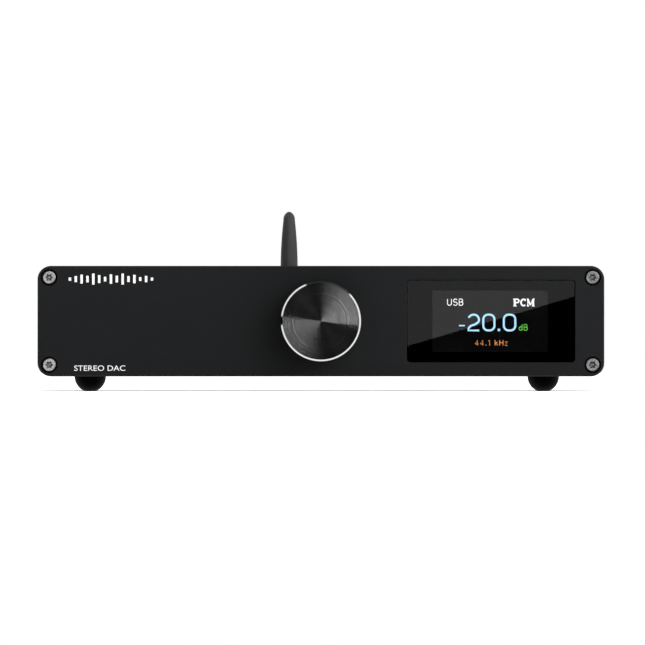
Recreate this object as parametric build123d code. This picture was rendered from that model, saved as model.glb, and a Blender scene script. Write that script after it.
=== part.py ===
from build123d import *
import os
from math import cos, radians, sin

# Desktop digital-to-analogue converter with a display, a push-and-turn volume knob and a folding
# aerial at the back. An extruded aluminium sleeve is closed by a thick front panel and a thin rear
# panel, each held by four corner screws. The boards stand inside the sleeve.
#
# Frame, in millimetres: +X to the right as seen from the front, +Y towards the back, +Z up.
# The origin is on the table, under the middle of the whole object's bounding box.

# ---- Driving dimensions: case --------------------------------------------------------------
CASE_WIDTH = 210.0
CASE_HEIGHT = 41.0
CASE_DEPTH = 188.0  # front face of the front panel to back face of the rear panel
CORNER_RADIUS = 5.0
FRONT_PANEL_THICK = 8.0
REAR_PANEL_THICK = 2.5
SIDE_WALL = 3.0
FLAT_WALL = 2.2  # top and bottom of the sleeve
FRONT_CHAMFER = 0.4
EDGE_BREAK = 0.2  # chamfer along the panel joints
SCREW_INSET = 4.3  # corner screw axes, from the outer faces
FOOT_HEIGHT = 5.5
FOOT_RADIUS = 5.85
FOOT_LEFT_X = -85.6  # the stick-on feet of the left pair stand a little further out
FOOT_RIGHT_X = 82.5
REAR_FOOT_SPREAD = 1.2  # each rear foot stands this much further out than the front one
FOOT_SETBACK = 17.0

# ---- Driving dimensions: knob and encoder --------------------------------------------------
KNOB_RADIUS = 14.9
KNOB_REACH = 14.0  # panel face to knob face
KNOB_GAP = 1.0  # panel face to the knob's back edge
KNOB_CHAMFER = 0.75
KNOB_PUSH = 0.6  # travel of the push switch
SHAFT_RADIUS = 3.0
SHAFT_FLAT = 1.5  # from the axis to the D flat
BUSHING_RADIUS = 3.5
RUNNING_GAP = 0.05

# ---- Driving dimensions: display -----------------------------------------------------------
WINDOW_WIDTH = 62.2
WINDOW_HEIGHT = 30.4
WINDOW_RADIUS = 1.2
WINDOW_X = 63.0
WINDOW_THICK = 1.6
WINDOW_RECESS = 0.15
LCD_X = 62.65
LCD_SIZE = (49.7, 25.8, 1.5)

# ---- Driving dimensions: aerial ------------------------------------------------------------
AERIAL_X = -12.0
AERIAL_Z = 35.0
AERIAL_HINGE = 19.5  # rear panel's back face to the hinge axis
AERIAL_TIP = 32.3  # hinge axis to the tip
KNUCKLE_RADIUS = 3.6

# ---- Driving dimensions: boards ------------------------------------------------------------
BOARD_THICK = 1.6
BOARD_Z = 13.8  # underside of the main board
STANDOFF = 6.0
CONTROL_BOARD_OFFSET = 9.7  # front face of the front panel to the control board

# ---- Rear sockets: (x, z) of each axis -----------------------------------------------------
INLET = (-86.0, 19.5)
SWITCH = (-86.0, 36.0)
OPTICAL_X = -68.0
COAX = (-54.5, 22.5)
USB_X = -38.0
PHONO_RIGHT = (8.0, 28.0)
PHONO_LEFT = (23.0, 28.0)
BALANCED_RIGHT = (48.5, 28.0)
BALANCED_LEFT = (79.5, 28.0)

# ---- Worked out ----------------------------------------------------------------------------
TOTAL_DEPTH = KNOB_REACH + CASE_DEPTH + AERIAL_HINGE + KNUCKLE_RADIUS
FRONT_Y = KNOB_REACH - TOTAL_DEPTH / 2
REAR_Y = FRONT_Y + CASE_DEPTH
BASE_Z = FOOT_HEIGHT
TOP_Z = BASE_Z + CASE_HEIGHT
MID_Z = BASE_Z + CASE_HEIGHT / 2
SLEEVE_FRONT = FRONT_Y + FRONT_PANEL_THICK
PANEL_INNER = REAR_Y - REAR_PANEL_THICK
HINGE_Y = REAR_Y + AERIAL_HINGE
BOARD_TOP = BOARD_Z + BOARD_THICK
CONTROL_BOARD_Y = FRONT_Y + CONTROL_BOARD_OFFSET
CONTROL_BOARD_BACK = CONTROL_BOARD_Y + BOARD_THICK
SCREW_X = CASE_WIDTH / 2 - SCREW_INSET
SCREW_Z = CASE_HEIGHT / 2 - SCREW_INSET
CORNERS = [(sx * SCREW_X, MID_Z + sz * SCREW_Z) for sx in (-1, 1) for sz in (-1, 1)]

# Corner screws: six-lobe pan heads, sunk into the front panel and proud of the rear one.
SCREW_HEAD_RADIUS = 2.65
SCREW_HEAD_HEIGHT = 2.2
SCREW_RADIUS = 1.45
THREAD_RADIUS = 1.5
COUNTERBORE_RADIUS = 3.1
COUNTERBORE_DEPTH = 2.6
CLEARANCE_RADIUS = 1.7

# Encoder, measured from the panel's front face, positive into the case.
ENCODER_FACE = 3.2
BUSHING_TIP = -3.8
SHAFT_TIP = -10.8
SHAFT_END = 6.2
PLUNGER_END = 7.6
ENCODER_BORE_END = 8.4
SET_SCREW_OUT = 6.9  # set screw's axis, in front of the panel face

# Balanced output sockets, on the usual 26 x 31 mm flange.
BALANCED_CAVITY_RADIUS = 9.4
BALANCED_CAVITY_DEPTH = 12.5
BALANCED_PIN_RADIUS = 1.2
BALANCED_PIN_CIRCLE = 4.4
BALANCED_SCREWS = ((-9.5, 12.0), (9.5, -12.0))

# Phono sockets, measured from the rear panel's back face, positive outwards.
PHONO_SLEEVE_RADIUS = 4.15
PHONO_NECK_RADIUS = 3.95
PHONO_INNER_RADIUS = 3.4
PHONO_BORE_RADIUS = 1.6
PHONO_RING = 0.8
PHONO_TIP = 9.2
PHONO_INSULATOR_TIP = 8.9
PHONO_BORE_DEPTH = 10.0

# Optical input's cavity and its hinged shutter.
OPTICAL_HALF_WIDTH = 4.05
OPTICAL_FLOOR = 16.7
OPTICAL_CEILING = 24.9
OPTICAL_DEPTH = 11.6
SHUTTER_AXIS_Z = 24.2
SHUTTER_AXIS_IN = 2.8  # hinge axis, inside the rear panel's back face

# Power switch: the rocker turns about a vertical pivot just inside the bezel.
ROCKER_PIVOT_IN = 0.6
ROCKER_TILT = 10.0
ROCKER_HALF_WIDTH = 3.7

# Control board fixings, (x, height above the panel's middle), and the power board's outline.
CONTROL_POSTS = [(-17.0, -11.0), (-17.0, 11.0), (95.0, -11.5), (95.0, 11.5)]
POWER_BOARD = (-98.0, -52.0, -62.0, 42.0)
POWER_BOARD_Z = BOARD_TOP + STANDOFF
POWER_TOP = POWER_BOARD_Z + BOARD_THICK
POWER_POSTS = [(x, y) for x in (-94.5, -55.5) for y in (-58.5, 38.5)]

# Where the inner wiring starts and ends.
RIBBON_X = 8.0
MODULE = (-30.0, 42.0)


PARTS = {}


def part(maker):
    """Registers a function that makes the node of the same name."""
    PARTS[maker.__name__] = maker
    return maker


# ---- Shared shapes -------------------------------------------------------------------------
def block(x0, x1, y0, y1, z0, z1):
    """Box between two corners."""
    return Pos((x0 + x1) / 2, (y0 + y1) / 2, (z0 + z1) / 2) * Box(x1 - x0, y1 - y0, z1 - z0)


def slab(width, height, radius, x, z, y0, y1):
    """Rounded rectangle, extruded along Y."""
    return Pos(x, y1, z) * Rot(X=90) * extrude(RectangleRounded(width, height, radius), amount=y1 - y0)


def rod(radius, x, z, y0, y1):
    """Cylinder along Y."""
    return Pos(x, (y0 + y1) / 2, z) * Rot(X=90) * Cylinder(radius, y1 - y0)


def post(radius, x, y, z0, z1):
    """Cylinder along Z."""
    return Pos(x, y, (z0 + z1) / 2) * Cylinder(radius, z1 - z0)


def axle(radius, x0, x1, y, z):
    """Cylinder along X."""
    return Pos((x0 + x1) / 2, y, z) * Rot(Y=90) * Cylinder(radius, x1 - x0)


def facing_front(x, y, z):
    """Local +Z points out of the front, and local +Y up."""
    return Pos(x, y, z) * Rot(X=90)


def facing_back(x, y, z):
    """Local +Z points out of the back, and local +Y down."""
    return Pos(x, y, z) * Rot(X=-90)


def column(sketch, z0, z1):
    """Sketch extruded from z0 to z1 in its own frame."""
    return Pos(0, 0, z0) * extrude(sketch, amount=z1 - z0)


def lowest_edges(shape, axis):
    return shape.faces().sort_by(axis)[0].edges()


def highest_edges(shape, axis):
    return shape.faces().sort_by(axis)[-1].edges()


def group(solids):
    """Several separate solids in one node."""
    return Compound([s for shape in solids for s in shape.solids()])


def lead(radius, points, bend):
    """Round wire along a path of straight runs joined by arcs."""
    path = FilletPolyline(*points, radius=bend)
    start = Plane(origin=path @ 0, z_dir=path % 0)
    return sweep(start * Circle(radius), path=path)


def capacitor(radius, height, x, y, z):
    """Radial electrolytic can with a rolled groove and a rounded top edge."""
    can = post(radius, x, y, z, z + height)
    can = fillet(highest_edges(can, Axis.Z), 0.12 * radius)
    z0, z1 = z + 0.18 * height, z + 0.18 * height + 0.8
    return can - (post(radius + 1, x, y, z0, z1) - post(0.93 * radius, x, y, z0, z1))


# ---- Fasteners -----------------------------------------------------------------------------
def six_lobe_socket(across, depth):
    """Star socket, measured across opposite lobes, cut down from z = 0."""
    lobe = 0.14 * across
    star = Circle(0.37 * across) + PolarLocations(across / 2 - lobe, 6) * Circle(lobe)
    return column(star, -depth, 0)


def corner_screw(length):
    """Head above z = 0, shank below."""
    head = column(Circle(SCREW_HEAD_RADIUS), 0, SCREW_HEAD_HEIGHT)
    head = fillet(highest_edges(head, Axis.Z), 0.6)
    shank = column(Circle(SCREW_RADIUS), -length, 0)
    return head + shank - Pos(0, 0, SCREW_HEAD_HEIGHT) * six_lobe_socket(2.8, 1.4)


def cross_screw(shank_radius, head_radius, head_height, length):
    """Pan head above z = 0, with a cross recess, and the shank below."""
    head = column(Circle(head_radius), 0, head_height)
    head = fillet(highest_edges(head, Axis.Z), 0.4 * head_height)
    shank = column(Circle(shank_radius), -length, 0)
    arm = 1.15 * head_radius
    cross = Rectangle(arm, 0.3 * head_radius) + Rectangle(0.3 * head_radius, arm)
    return head + shank - column(cross, 0.4 * head_height, head_height)


@part
def front_panel_screws():
    seat = FRONT_Y + COUNTERBORE_DEPTH
    return group([facing_front(x, seat, z) * corner_screw(12.0) for x, z in CORNERS])


@part
def rear_panel_screws():
    return group([facing_back(x, REAR_Y, z) * corner_screw(9.0) for x, z in CORNERS])


@part
def board_screws():
    """Four hold the control board to the front panel, four hold the power board to its standoffs."""
    screw = cross_screw(0.95, 1.9, 1.3, 5.0)
    control = [facing_back(x, CONTROL_BOARD_BACK, MID_Z + z) * screw for x, z in CONTROL_POSTS]
    power = [Pos(x, y, POWER_TOP) * screw for x, y in POWER_POSTS]
    return group(control + power)


@part
def balanced_screws():
    screw = cross_screw(SCREW_RADIUS, 2.5, 1.5, 4.4)
    return group(
        [
            facing_back(x + dx, REAR_Y + 1.6, z + dz) * screw
            for x, z in (BALANCED_LEFT, BALANCED_RIGHT)
            for dx, dz in BALANCED_SCREWS
        ]
    )


# ---- Case ----------------------------------------------------------------------------------
@part
def case_sleeve():
    """Extruded tube with four screw channels and a pair of rails for the main board."""
    cavity = slab(
        CASE_WIDTH - 2 * SIDE_WALL, CASE_HEIGHT - 2 * FLAT_WALL, 3.6, 0, MID_Z, SLEEVE_FRONT, PANEL_INNER
    )
    sleeve = slab(CASE_WIDTH, CASE_HEIGHT, CORNER_RADIUS, 0, MID_Z, SLEEVE_FRONT, PANEL_INNER)
    sleeve = chamfer(lowest_edges(sleeve, Axis.Y) + highest_edges(sleeve, Axis.Y), EDGE_BREAK)
    sleeve -= cavity
    for x, z in CORNERS:
        sleeve += rod(3.0, x, z, SLEEVE_FRONT, PANEL_INNER)
    wall_x = CASE_WIDTH / 2 - SIDE_WALL
    for side in (-1, 1):
        for z0, z1 in ((BOARD_Z - 1.5, BOARD_Z), (BOARD_TOP + 0.1, BOARD_TOP + 1.6)):
            x0, x1 = sorted((side * (wall_x + 0.5), side * (wall_x - 2.0)))
            sleeve += block(x0, x1, SLEEVE_FRONT, PANEL_INNER, z0, z1)
    for x, z in CORNERS:
        sleeve -= rod(THREAD_RADIUS, x, z, SLEEVE_FRONT, PANEL_INNER)
    return sleeve


@part
def front_panel():
    """Milled plate: window pocket, encoder pocket, counterbored corners and posts for the board."""
    panel = slab(CASE_WIDTH, CASE_HEIGHT, CORNER_RADIUS, 0, MID_Z, FRONT_Y, SLEEVE_FRONT)
    panel = chamfer(lowest_edges(panel, Axis.Y), FRONT_CHAMFER)
    panel = chamfer(highest_edges(panel, Axis.Y), EDGE_BREAK)
    pocket_floor = FRONT_Y + WINDOW_RECESS + WINDOW_THICK
    panel -= slab(
        WINDOW_WIDTH + 0.2, WINDOW_HEIGHT + 0.2, WINDOW_RADIUS + 0.1, WINDOW_X, MID_Z, FRONT_Y, pocket_floor
    )
    rim = panel.faces().sort_by(Axis.Y)[0].inner_wires()[0].edges()
    panel = chamfer(rim, 0.2)
    panel -= slab(58.0, 26.4, 1.0, WINDOW_X + 0.9, MID_Z, pocket_floor, SLEEVE_FRONT)
    panel -= rod(BUSHING_RADIUS + 0.1, 0, MID_Z, FRONT_Y, SLEEVE_FRONT)
    panel -= slab(14.4, 15.2, 1.5, 0, MID_Z, FRONT_Y + ENCODER_FACE, SLEEVE_FRONT)
    for x, z in CORNERS:
        panel -= rod(COUNTERBORE_RADIUS, x, z, FRONT_Y, FRONT_Y + COUNTERBORE_DEPTH)
        panel -= rod(CLEARANCE_RADIUS, x, z, FRONT_Y, SLEEVE_FRONT)
    for x, z in CONTROL_POSTS:
        panel += rod(1.9, x, MID_Z + z, SLEEVE_FRONT - 0.5, CONTROL_BOARD_Y)
        panel -= rod(1.0, x, MID_Z + z, SLEEVE_FRONT - 3.0, CONTROL_BOARD_Y)
    return panel


@part
def rear_panel():
    """Sheet with a cut-out for each socket."""
    panel = slab(CASE_WIDTH, CASE_HEIGHT, CORNER_RADIUS, 0, MID_Z, PANEL_INNER, REAR_Y)
    panel = chamfer(lowest_edges(panel, Axis.Y) + highest_edges(panel, Axis.Y), EDGE_BREAK)

    def round_hole(radius, x, z):
        return rod(radius, x, z, PANEL_INNER, REAR_Y)

    def square_hole(width, height, x, z, radius=0.4):
        return slab(width, height, radius, x, z, PANEL_INNER, REAR_Y)

    for x, z in CORNERS:
        panel -= round_hole(CLEARANCE_RADIUS, x, z)
    for x, z in (BALANCED_LEFT, BALANCED_RIGHT):
        panel -= round_hole(11.8, x, z)
        for dx, dz in BALANCED_SCREWS:
            panel -= round_hole(THREAD_RADIUS, x + dx, z + dz)
    for x, z in (PHONO_LEFT, PHONO_RIGHT, COAX):
        panel -= round_hole(5.4, x, z)
    panel -= round_hole(3.25, AERIAL_X, AERIAL_Z)
    panel -= square_hole(12.4, 11.4, USB_X, BOARD_TOP + 5.5)
    panel -= square_hole(10.0, 10.7, OPTICAL_X, BOARD_TOP + 5.2)
    panel -= square_hole(20.6, 12.6, *INLET, radius=4.0)
    panel -= square_hole(15.2, 10.0, *SWITCH)
    return panel


@part
def rubber_feet():
    """Four half-round bumpers with a small flat to stand on, stuck under the sleeve."""
    foot = Sphere(FOOT_RADIUS) & Pos(0, 0, -FOOT_HEIGHT / 2) * Cylinder(FOOT_RADIUS, FOOT_HEIGHT)
    front, rear = FRONT_Y + FOOT_SETBACK, REAR_Y - FOOT_SETBACK
    spots = [(FOOT_LEFT_X, front), (FOOT_LEFT_X - REAR_FOOT_SPREAD, rear)]
    spots += [(FOOT_RIGHT_X, front), (FOOT_RIGHT_X + REAR_FOOT_SPREAD, rear)]
    return group([Pos(x, y, BASE_Z) * foot for x, y in spots])


# ---- Display -------------------------------------------------------------------------------
@part
def display_window():
    y0 = FRONT_Y + WINDOW_RECESS
    pane = slab(WINDOW_WIDTH, WINDOW_HEIGHT, WINDOW_RADIUS, WINDOW_X, MID_Z, y0, y0 + WINDOW_THICK)
    return chamfer(lowest_edges(pane, Axis.Y), 0.12)


@part
def display_panel():
    width, height, thick = LCD_SIZE
    y0 = FRONT_Y + WINDOW_RECESS + WINDOW_THICK + 0.2
    return slab(width, height, 0.4, LCD_X, MID_Z, y0, y0 + thick)


@part
def display_holder():
    """Tray between the display panel and the control board."""
    width, height, thick = LCD_SIZE
    y0 = FRONT_Y + WINDOW_RECESS + WINDOW_THICK + 0.2 + thick
    tray = slab(width, height, 0.4, LCD_X, MID_Z, y0, CONTROL_BOARD_Y)
    return tray - slab(width - 4, height - 4, 0.4, LCD_X, MID_Z, y0 + 1.5, CONTROL_BOARD_Y)


@part
def remote_sensor():
    """Infrared receiver behind the window's right end."""
    x = 90.6
    body = block(x - 2.1, x + 2.1, FRONT_Y + 5.2, CONTROL_BOARD_Y, MID_Z - 2.6, MID_Z + 2.6)
    barrel = rod(1.7, x, MID_Z, FRONT_Y + 3.6, FRONT_Y + 5.2)
    dome = fillet(lowest_edges(barrel, Axis.Y), 0.9)
    return body + dome


@part
def front_board():
    """Control board behind the front panel, with its ribbon header."""
    y0, y1 = CONTROL_BOARD_Y, CONTROL_BOARD_BACK
    board = block(-22.0, 97.0, y0, y1, MID_Z - 14.5, MID_Z + 14.5)
    for x, z in CONTROL_POSTS:
        board -= rod(1.1, x, MID_Z + z, y0, y1)
    return board + block(RIBBON_X - 7.5, RIBBON_X + 7.5, y1, y1 + 3.0, 19.0, 23.0)


# ---- Knob and encoder ----------------------------------------------------------------------
def d_section(radius, flat):
    """Circle with a flat below its centre."""
    return Circle(radius) - Pos(0, -flat - radius) * Rectangle(2 * radius, 2 * radius)


@part
def volume_knob():
    """Turned cup with a central boss, bored for the D shaft and drilled for its set screw."""
    boss_back, cavity_floor, bore_end = 4.9, 9.0, 11.2
    knob = column(Circle(KNOB_RADIUS), KNOB_GAP, KNOB_REACH)
    knob = chamfer(highest_edges(knob, Axis.Z), KNOB_CHAMFER)
    knob = chamfer(lowest_edges(knob, Axis.Z), 0.3)
    knob -= column(Circle(12.0), KNOB_GAP, cavity_floor)
    knob += column(Circle(5.5), boss_back, cavity_floor)
    knob -= column(d_section(SHAFT_RADIUS, SHAFT_FLAT), boss_back, bore_end)
    drill = column(Circle(THREAD_RADIUS), SHAFT_FLAT, KNOB_RADIUS)
    knob -= Pos(0, 0, SET_SCREW_OUT) * Rot(X=90) * drill
    return facing_front(0, FRONT_Y, MID_Z) * knob


@part
def knob_set_screw():
    """Socket grub screw from the shaft's flat to the boss's outside."""
    end = SHAFT_FLAT + 3.8
    screw = column(Circle(SCREW_RADIUS), SHAFT_FLAT, end)
    screw -= column(RegularPolygon(0.75, 6), end - 1.6, end)
    return facing_front(0, FRONT_Y, MID_Z) * Pos(0, 0, SET_SCREW_OUT) * Rot(X=90) * screw


@part
def encoder_body():
    y0 = FRONT_Y + ENCODER_FACE
    body = slab(12.5, 13.2, 0.6, 0, MID_Z, y0, CONTROL_BOARD_Y)
    return body - rod(SHAFT_RADIUS + 2 * RUNNING_GAP, 0, MID_Z, y0, FRONT_Y + ENCODER_BORE_END)


@part
def encoder_bushing():
    """Threaded neck through the front panel. Its bore carries the shaft."""
    y0, y1 = FRONT_Y + BUSHING_TIP, FRONT_Y + ENCODER_FACE
    return rod(BUSHING_RADIUS, 0, MID_Z, y0, y1) - rod(SHAFT_RADIUS + RUNNING_GAP, 0, MID_Z, y0, y1)


@part
def encoder_nut():
    """Washer against the panel, and the hexagon nut on it."""
    washer = column(Circle(5.5) - Circle(BUSHING_RADIUS), 0, 0.5)
    nut = column(RegularPolygon(5.0, 6, major_radius=False) - Circle(BUSHING_RADIUS), 0.5, 2.5)
    return group([facing_front(0, FRONT_Y, MID_Z) * washer, facing_front(0, FRONT_Y, MID_Z) * nut])


@part
def encoder_shaft():
    round_part = column(Circle(SHAFT_RADIUS), -SHAFT_END, 4.5)
    d_part = column(d_section(SHAFT_RADIUS, SHAFT_FLAT), 4.5, -SHAFT_TIP)
    return facing_front(0, FRONT_Y, MID_Z) * (round_part + d_part)


@part
def encoder_plunger():
    """Push plate that the shaft's end presses on to the switch. It slides and doesn't turn."""
    return rod(2.6, 0, MID_Z, FRONT_Y + SHAFT_END, FRONT_Y + PLUNGER_END)


# ---- Boards and what stands on them --------------------------------------------------------
@part
def main_board():
    """Slides into the sleeve's rails. A notch keeps it away from the mains inlet."""
    half = CASE_WIDTH / 2 - SIDE_WALL - 0.2
    board = block(-half, half, FRONT_Y + 20.0, PANEL_INNER - 0.5, BOARD_Z, BOARD_TOP)
    board -= block(-half, -74.0, 55.0, PANEL_INNER, BOARD_Z, BOARD_TOP)
    ribbon_header = block(RIBBON_X - 7.5, RIBBON_X + 7.5, -76.0, -72.0, BOARD_TOP, BOARD_TOP + 3.5)
    power_header = block(-40.0, -32.0, -30.0, -20.0, BOARD_TOP, BOARD_TOP + 6.0)
    return board + ribbon_header + power_header


def flat_chip(width, length, height, x, y):
    """Moulded package with a chamfered top edge."""
    z0 = BOARD_TOP
    body = block(x - width / 2, x + width / 2, y - length / 2, y + length / 2, z0, z0 + height)
    return chamfer(highest_edges(body, Axis.Z), 0.2)


@part
def converter_chip():
    return flat_chip(12.0, 12.0, 1.3, 45.0, 12.0)


@part
def interface_chip():
    return flat_chip(12.0, 12.0, 1.2, -36.0, 10.0)


@part
def output_amplifiers():
    places = [(26.0 + 12.0 * i, 36.0 + 9.0 * j) for i in range(5) for j in range(2)]
    return group([flat_chip(4.0, 5.0, 1.6, x, y) for x, y in places])


@part
def clock_oscillators():
    return group([flat_chip(5.0, 7.0, 1.8, x, -6.0) for x in (38.0, 52.0)])


@part
def output_relays():
    z0 = BOARD_TOP
    return group(
        [
            fillet(highest_edges(block(x, x + 15.0, 56.0, 63.5, z0, z0 + 10.0), Axis.Z), 0.5)
            for x in (3.0, 41.0, 72.0)
        ]
    )


@part
def wireless_module():
    """Radio board with its shield can and the aerial's push-on connector."""
    x, y = MODULE
    base = block(x - 7.0, x + 7.0, y - 12.0, y + 12.0, BOARD_TOP, BOARD_TOP + 0.8)
    can = block(x - 6.2, x + 6.2, y - 11.0, y + 5.0, BOARD_TOP + 0.8, BOARD_TOP + 2.8)
    return base + can + post(1.3, x, y + 9.0, BOARD_TOP + 0.8, BOARD_TOP + 2.2)


@part
def filter_capacitors():
    """Electrolytics in rows on the analogue side, with three taller ones by the power header."""
    places = [(20.0 + 10.0 * i, -56.0 + 12.0 * j) for i in range(8) for j in range(3)]
    rows = [capacitor(3.15, 11.0, x, y, BOARD_TOP) for x, y in places]
    tall = [capacitor(5.0, 20.0, -18.0, y, BOARD_TOP) for y in (-52.0, -38.0, -24.0)]
    return group(rows + tall)


@part
def power_board():
    x0, x1, y0, y1 = POWER_BOARD
    board = block(x0, x1, y0, y1, POWER_BOARD_Z, POWER_TOP)
    for x, y in POWER_POSTS:
        board -= post(1.1, x, y, POWER_BOARD_Z, POWER_TOP)
    mains_header = block(-90.0, -80.0, 31.0, 38.0, POWER_TOP, POWER_TOP + 8.0)
    output_header = block(-62.0, -54.5, -48.0, -38.0, POWER_TOP, POWER_TOP + 6.0)
    return board + mains_header + output_header


@part
def power_board_standoffs():
    z0, z1 = BOARD_TOP, POWER_BOARD_Z
    return group([post(2.6, x, y, z0, z1) - post(1.0, x, y, z1 - 4.5, z1) for x, y in POWER_POSTS])


@part
def power_transformer():
    """Ferrite core around a wound bobbin."""
    x, y, z = -78.0, -24.0, POWER_TOP
    core = block(x - 13.0, x + 13.0, y - 5.5, y + 5.5, z + 1.5, z + 17.0)
    winding = slab(18.0, 14.0, 3.0, x, z + 9.0, y - 11.0, y + 11.0)
    foot = block(x - 12.0, x + 12.0, y - 11.0, y + 11.0, z, z + 2.0)
    return core + winding + foot


@part
def bulk_capacitor():
    return capacitor(8.0, 20.0, -86.0, 8.0, POWER_TOP)


@part
def line_filter_choke():
    """Two windings on a toroid, standing in a base."""
    x, y, z = -63.0, 22.0, POWER_TOP
    toroid = Pos(x, y, z + 7.7) * Rot(X=90) * Torus(5.0, 2.6)
    return toroid + block(x - 6.0, x + 6.0, y - 3.5, y + 3.5, z, z + 2.5)


@part
def mains_fuse():
    """Glass tube fuse between two end caps."""
    x, z = -74.0, POWER_TOP + 3.2
    tube = rod(2.3, x, z, 12.0, 32.0)
    caps = rod(2.6, x, z, 12.0, 17.5) + rod(2.6, x, z, 26.5, 32.0)
    clips = block(x - 2.0, x + 2.0, 12.5, 16.5, POWER_TOP, z - 1.0)
    clips += block(x - 2.0, x + 2.0, 27.5, 31.5, POWER_TOP, z - 1.0)
    return tube + caps + clips


# ---- Inner wiring --------------------------------------------------------------------------
@part
def mains_leads():
    """Inlet to switch, switch to power board, and inlet to power board."""
    x, inlet_z = INLET
    switch_z = SWITCH[1]
    header_z = POWER_TOP + 4.0
    inlet_y, switch_y, header_y = REAR_Y - 23.0, REAR_Y - 15.0, 38.0
    live = [
        (x + 4.3, inlet_y, inlet_z),
        (x + 4.3, inlet_y - 6.0, inlet_z),
        (x + 4.0, inlet_y - 7.0, switch_z),
        (x + 4.0, switch_y, switch_z),
    ]
    switched = [
        (x - 4.0, switch_y, switch_z),
        (x - 4.0, switch_y - 14.0, switch_z),
        (x + 1.0, header_y + 9.0, header_z),
        (x + 1.0, header_y, header_z),
    ]
    neutral = [
        (x - 4.3, inlet_y, inlet_z),
        (x - 4.3, inlet_y - 8.0, inlet_z),
        (x - 2.0, header_y + 8.0, header_z),
        (x - 2.0, header_y, header_z),
    ]
    return group([lead(0.9, run, 3.0) for run in (live, switched, neutral)])


@part
def supply_harness():
    """Four wires from the power board's output to the main board."""
    wires = []
    for i in range(4):
        y_from, y_to = -46.5 + 2.2 * i, -28.5 + 2.2 * i
        z_from, z_to = POWER_TOP + 3.0, BOARD_TOP + 3.0
        start = [(-54.5, y_from, z_from), (-49.0, y_from, z_from)]
        end = [(-45.5, y_to, z_to), (-40.0, y_to, z_to)]
        wires.append(lead(0.7, start + end, 2.0))
    return group(wires)


@part
def antenna_lead():
    """Thin coaxial lead from the wireless module up to the aerial socket."""
    x, y = MODULE
    points = [
        (x, y + 9.0, BOARD_TOP + 2.2),
        (x, y + 9.0, BOARD_TOP + 9.0),
        (AERIAL_X, y + 16.0, AERIAL_Z),
        (AERIAL_X, REAR_Y - 9.0, AERIAL_Z),
    ]
    return lead(0.6, points, 5.0)


@part
def front_ribbon():
    """Flat cable that steps down from the control board to the main board."""
    y0, y1 = CONTROL_BOARD_BACK + 3.0, -76.0
    middle = (y0 + y1) / 2
    path = FilletPolyline((y0, 21.0), (middle, 21.0), (middle, 17.2), (y1, 17.2), radius=1.5)
    strip = extrude(Plane.YZ * trace(path, line_width=0.4), amount=13.0)
    return Pos(RIBBON_X - 6.5, 0, 0) * strip


# ---- Rear sockets --------------------------------------------------------------------------
def balanced_output(x, z):
    """Flanged shell with a round cavity, a keyway and a foot on the main board."""
    flange = column(RectangleRounded(26.0, 31.0, 3.0), 0, 1.6)
    flange = chamfer(highest_edges(flange, Axis.Z), 0.4)
    mouth = column(Circle(11.4), 1.6, 2.4)
    mouth = chamfer(highest_edges(mouth, Axis.Z), 0.3)
    barrel = column(Circle(11.6), -18.0, 0)
    socket = flange + mouth + barrel
    socket -= column(Circle(BALANCED_CAVITY_RADIUS), -BALANCED_CAVITY_DEPTH, 2.4)
    keyway = Pos(0, -BALANCED_CAVITY_RADIUS) * Rectangle(3.4, 2.2)
    socket -= column(keyway, -6.0, 2.4)
    for dx, dz in BALANCED_SCREWS:
        socket -= Pos(dx, -dz) * column(Circle(CLEARANCE_RADIUS), 0, 1.6)
    foot = block(x - 8.0, x + 8.0, REAR_Y - 18.0, REAR_Y - 8.0, BOARD_TOP, z - 10.0)
    foot -= rod(11.0, x, z, REAR_Y - 18.0, REAR_Y - 8.0)
    return facing_back(x, REAR_Y, z) * socket + foot


@part
def balanced_output_left():
    return balanced_output(*BALANCED_LEFT)


@part
def balanced_output_right():
    return balanced_output(*BALANCED_RIGHT)


@part
def balanced_pins():
    """Three contact pins in each balanced output."""
    pin = column(Circle(BALANCED_PIN_RADIUS), -BALANCED_CAVITY_DEPTH, -1.0)
    pin = fillet(highest_edges(pin, Axis.Z), 0.8)
    pins = []
    for x, z in (BALANCED_LEFT, BALANCED_RIGHT):
        for angle in (30, 150, 270):
            dx = BALANCED_PIN_CIRCLE * cos(radians(angle))
            dz = BALANCED_PIN_CIRCLE * sin(radians(angle))
            pins.append(facing_back(x + dx, REAR_Y, z + dz) * pin)
    return group(pins)


def phono_socket(x, z):
    """Moulded block on the board, with a coloured ring through the panel."""
    back, front = PANEL_INNER - 12.0, PANEL_INNER
    body = block(x - 5.5, x + 5.5, back, front, BOARD_TOP, z + 6.0)
    body += rod(5.3, x, z, front, REAR_Y + PHONO_RING)
    return body - rod(PHONO_NECK_RADIUS, x, z, REAR_Y - 6.0, REAR_Y + PHONO_RING)


@part
def phono_output_left():
    return phono_socket(*PHONO_LEFT)


@part
def phono_output_right():
    return phono_socket(*PHONO_RIGHT)


@part
def coax_input():
    return phono_socket(*COAX)


@part
def phono_sleeves():
    """Outer contact of each phono socket. A plug's shell slides over it."""
    sleeves = []
    for x, z in (PHONO_LEFT, PHONO_RIGHT, COAX):
        sleeve = rod(PHONO_SLEEVE_RADIUS, x, z, REAR_Y + PHONO_RING, REAR_Y + PHONO_TIP)
        sleeve = chamfer(highest_edges(sleeve, Axis.Y), 0.15)
        sleeve += rod(PHONO_NECK_RADIUS, x, z, REAR_Y - 6.0, REAR_Y + PHONO_RING)
        sleeves.append(sleeve - rod(PHONO_INNER_RADIUS, x, z, REAR_Y - 6.0, REAR_Y + PHONO_TIP))
    return group(sleeves)


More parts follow.
